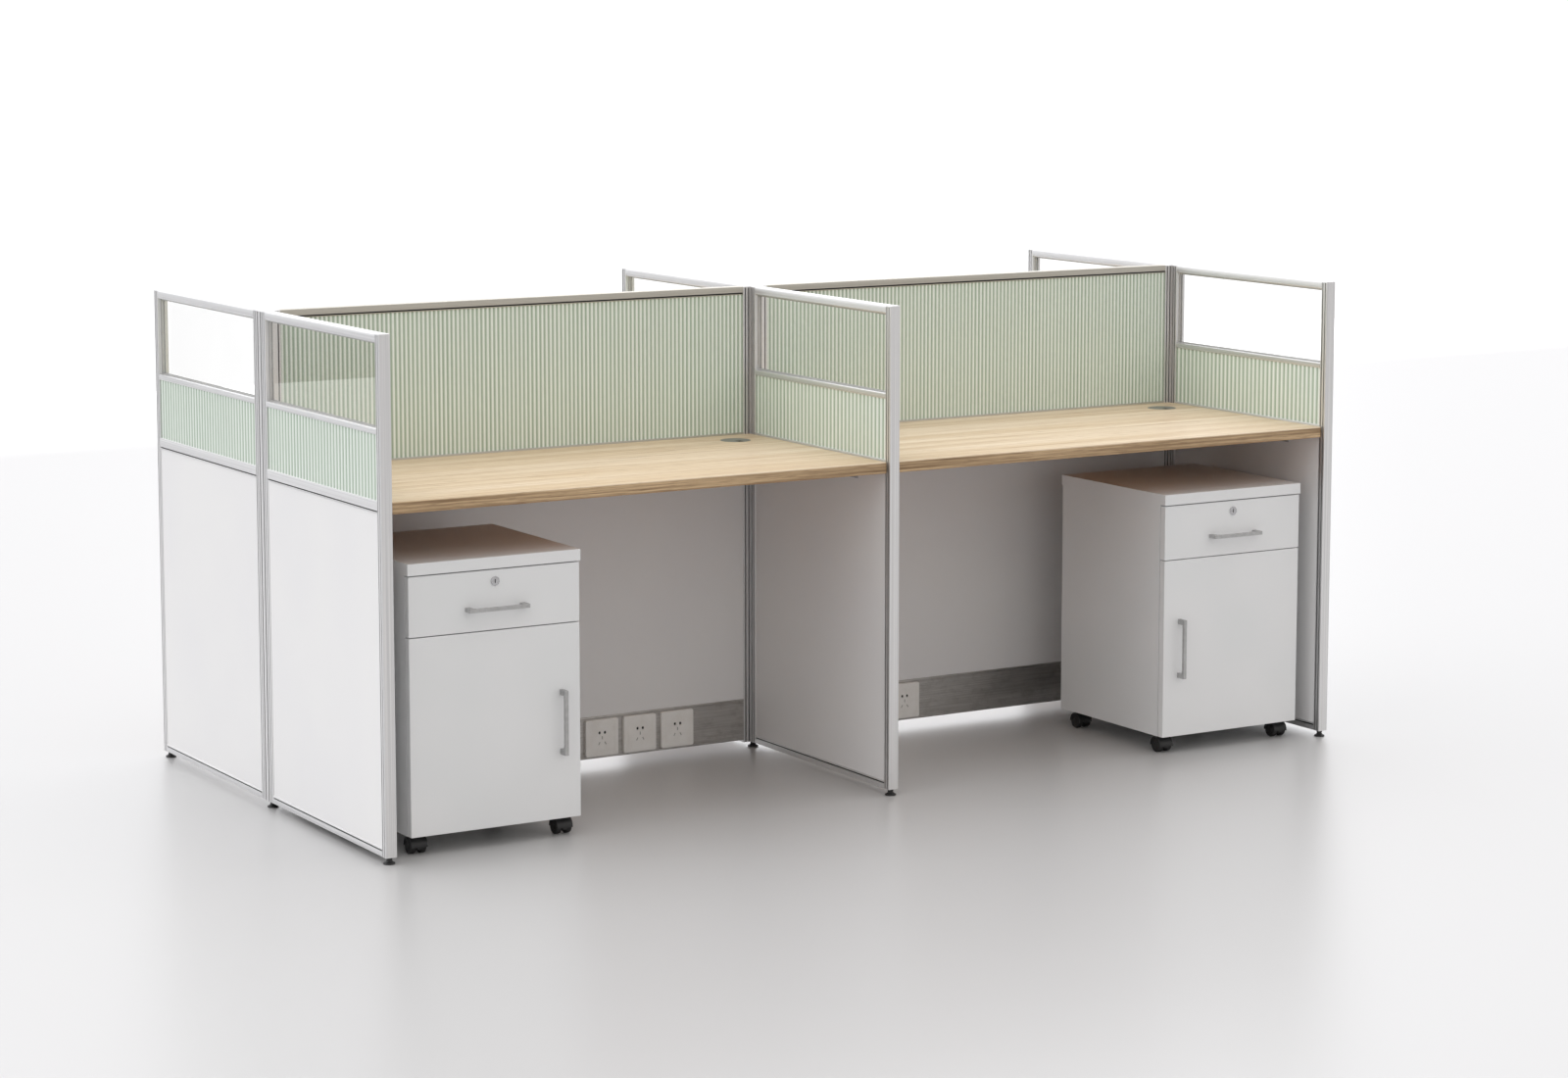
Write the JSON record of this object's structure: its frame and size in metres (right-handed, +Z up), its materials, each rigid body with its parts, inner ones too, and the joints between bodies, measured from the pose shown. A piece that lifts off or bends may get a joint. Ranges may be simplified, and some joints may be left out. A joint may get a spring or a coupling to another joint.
{
  "type": "cubicle workstation",
  "caption": "Back-to-back cubicle workstation with ribbed and clear partitions, oak desks, cable trunking with sockets, and mobile drawer units with a drawer and a door.",
  "frame": {"origin": "on the floor, in the middle of the workstation", "axes": "+X along the spine partition to the right of the front seats, +Y towards the rear seats, +Z up"},
  "size_m": [2.485, 1.235, 1.1],
  "materials": {
    "frame_aluminium": "fine matt anodised",
    "clear_glass": "clear float glass",
    "gasket_rubber": "matt extruded rubber",
    "ribbed_green": "pale green ribbed panel, satin",
    "white_board": "white melamine on board",
    "trunking_aluminium": "brushed",
    "socket_plastic": "satin moulded",
    "black_plastic": "moulded nylon",
    "castor_tread": "moulded nylon",
    "grommet_plastic": "moulded",
    "zinc_steel": "zinc plated",
    "oak_board": "light oak melamine",
    "unit_white": "white melamine on board",
    "drawer_board": "pale melamine on board",
    "handle_metal": "satin silver",
    "lock_chrome": "satin"
  },
  "bodies": {
    "workstation": {"connector_posts": "frame_aluminium", "wing_stiles": "frame_aluminium", "wing_top_rails": "frame_aluminium", "wing_mid_rails": "frame_aluminium", "wing_bottom_rails": "frame_aluminium", "clear_panes": "clear_glass", "pane_gaskets": "gasket_rubber", "ribbed_wing_panes": "ribbed_green", "wing_boards": "white_board", "spine_stiles": "frame_aluminium", "spine_rails": "frame_aluminium", "spine_ribbed_panels": "ribbed_green", "spine_boards": "white_board", "trunking": "trunking_aluminium", "socket_outlets": "socket_plastic", "levelling_feet": "black_plastic", "desk_grommets": "grommet_plastic", "desk_brackets": "zinc_steel", "desk_front_left": "oak_board", "desk_front_right": "oak_board", "desk_rear_left": "oak_board", "desk_rear_right": "oak_board"},
    "left_unit": {"left_case": "unit_white", "left_top": "unit_white", "left_drawer_runners": "zinc_steel", "left_hinge_arms": "zinc_steel"},
    "left_drawer": {"left_drawer_box": "drawer_board", "left_drawer_front": "unit_white", "left_drawer_handle": "handle_metal"},
    "left_lock": {"left_lock": "lock_chrome"},
    "left_door": {"left_door": "unit_white", "left_door_handle": "handle_metal", "left_hinge_cups": "zinc_steel"},
    "left_castor_front_outer": {"left_castor_front_outer": "black_plastic"},
    "left_wheels_front_outer": {"left_wheels_front_outer": "castor_tread"},
    "left_castor_front_inner": {"left_castor_front_inner": "black_plastic"},
    "left_wheels_front_inner": {"left_wheels_front_inner": "castor_tread"},
    "left_castor_rear_outer": {"left_castor_rear_outer": "black_plastic"},
    "left_wheels_rear_outer": {"left_wheels_rear_outer": "castor_tread"},
    "left_castor_rear_inner": {"left_castor_rear_inner": "black_plastic"},
    "left_wheels_rear_inner": {"left_wheels_rear_inner": "castor_tread"},
    "right_unit": {"right_case": "unit_white", "right_top": "unit_white", "right_drawer_runners": "zinc_steel", "right_hinge_arms": "zinc_steel"},
    "right_drawer": {"right_drawer_box": "drawer_board", "right_drawer_front": "unit_white", "right_drawer_handle": "handle_metal"},
    "right_lock": {"right_lock": "lock_chrome"},
    "right_door": {"right_door": "unit_white", "right_door_handle": "handle_metal", "right_hinge_cups": "zinc_steel"},
    "right_castor_front_outer": {"right_castor_front_outer": "black_plastic"},
    "right_wheels_front_outer": {"right_wheels_front_outer": "castor_tread"},
    "right_castor_front_inner": {"right_castor_front_inner": "black_plastic"},
    "right_wheels_front_inner": {"right_wheels_front_inner": "castor_tread"},
    "right_castor_rear_outer": {"right_castor_rear_outer": "black_plastic"},
    "right_wheels_rear_outer": {"right_wheels_rear_outer": "castor_tread"},
    "right_castor_rear_inner": {"right_castor_rear_inner": "black_plastic"},
    "right_wheels_rear_inner": {"right_wheels_rear_inner": "castor_tread"}
  },
  "joints": [
    {"name": "left_unit_roll", "type": "slide", "parent": "workstation", "child": "left_unit", "axis": [0, -1, 0], "range_m": [0, 0.45]},
    {"name": "left_drawer_slide", "type": "slide", "parent": "left_unit", "child": "left_drawer", "axis": [0, -1, 0], "range_m": [0, 0.28]},
    {"name": "left_lock_turn", "type": "hinge", "parent": "left_drawer", "child": "left_lock", "pos_m": [-0.971, -0.586, 0.567], "axis": [0, -1, 0], "range_deg": [0, 90]},
    {"name": "left_door_hinge", "type": "hinge", "parent": "left_unit", "child": "left_door", "pos_m": [-1.17, -0.568, 0.252], "axis": [0, 0, -1], "range_deg": [0, 100]},
    {"name": "left_swivel_front_outer", "type": "hinge", "parent": "left_unit", "child": "left_castor_front_outer", "pos_m": [-1.142, -0.538, 0.042], "axis": [0, 0, 1], "continuous": true},
    {"name": "left_spin_front_outer", "type": "hinge", "parent": "left_castor_front_outer", "child": "left_wheels_front_outer", "pos_m": [-1.142, -0.546, 0.017], "axis": [1, 0, 0], "continuous": true},
    {"name": "left_swivel_front_inner", "type": "hinge", "parent": "left_unit", "child": "left_castor_front_inner", "pos_m": [-0.8, -0.538, 0.042], "axis": [0, 0, 1], "continuous": true},
    {"name": "left_spin_front_inner", "type": "hinge", "parent": "left_castor_front_inner", "child": "left_wheels_front_inner", "pos_m": [-0.8, -0.546, 0.017], "axis": [1, 0, 0], "continuous": true},
    {"name": "left_swivel_rear_outer", "type": "hinge", "parent": "left_unit", "child": "left_castor_rear_outer", "pos_m": [-1.142, -0.213, 0.042], "axis": [0, 0, 1], "continuous": true},
    {"name": "left_spin_rear_outer", "type": "hinge", "parent": "left_castor_rear_outer", "child": "left_wheels_rear_outer", "pos_m": [-1.142, -0.221, 0.017], "axis": [1, 0, 0], "continuous": true},
    {"name": "left_swivel_rear_inner", "type": "hinge", "parent": "left_unit", "child": "left_castor_rear_inner", "pos_m": [-0.8, -0.213, 0.042], "axis": [0, 0, 1], "continuous": true},
    {"name": "left_spin_rear_inner", "type": "hinge", "parent": "left_castor_rear_inner", "child": "left_wheels_rear_inner", "pos_m": [-0.8, -0.221, 0.017], "axis": [1, 0, 0], "continuous": true},
    {"name": "right_unit_roll", "type": "slide", "parent": "workstation", "child": "right_unit", "axis": [0, -1, 0], "range_m": [0, 0.45]},
    {"name": "right_drawer_slide", "type": "slide", "parent": "right_unit", "child": "right_drawer", "axis": [0, -1, 0], "range_m": [0, 0.28]},
    {"name": "right_lock_turn", "type": "hinge", "parent": "right_drawer", "child": "right_lock", "pos_m": [0.971, -0.586, 0.567], "axis": [0, 1, 0], "range_deg": [0, 90]},
    {"name": "right_door_hinge", "type": "hinge", "parent": "right_unit", "child": "right_door", "pos_m": [1.17, -0.568, 0.252], "axis": [0, 0, 1], "range_deg": [0, 100]},
    {"name": "right_swivel_front_outer", "type": "hinge", "parent": "right_unit", "child": "right_castor_front_outer", "pos_m": [1.142, -0.538, 0.042], "axis": [0, 0, 1], "continuous": true},
    {"name": "right_spin_front_outer", "type": "hinge", "parent": "right_castor_front_outer", "child": "right_wheels_front_outer", "pos_m": [1.142, -0.546, 0.017], "axis": [1, 0, 0], "continuous": true},
    {"name": "right_swivel_front_inner", "type": "hinge", "parent": "right_unit", "child": "right_castor_front_inner", "pos_m": [0.8, -0.538, 0.042], "axis": [0, 0, 1], "continuous": true},
    {"name": "right_spin_front_inner", "type": "hinge", "parent": "right_castor_front_inner", "child": "right_wheels_front_inner", "pos_m": [0.8, -0.546, 0.017], "axis": [1, 0, 0], "continuous": true},
    {"name": "right_swivel_rear_outer", "type": "hinge", "parent": "right_unit", "child": "right_castor_rear_outer", "pos_m": [1.142, -0.213, 0.042], "axis": [0, 0, 1], "continuous": true},
    {"name": "right_spin_rear_outer", "type": "hinge", "parent": "right_castor_rear_outer", "child": "right_wheels_rear_outer", "pos_m": [1.142, -0.221, 0.017], "axis": [1, 0, 0], "continuous": true},
    {"name": "right_swivel_rear_inner", "type": "hinge", "parent": "right_unit", "child": "right_castor_rear_inner", "pos_m": [0.8, -0.213, 0.042], "axis": [0, 0, 1], "continuous": true},
    {"name": "right_spin_rear_inner", "type": "hinge", "parent": "right_castor_rear_inner", "child": "right_wheels_rear_inner", "pos_m": [0.8, -0.221, 0.017], "axis": [1, 0, 0], "continuous": true}
  ]
}
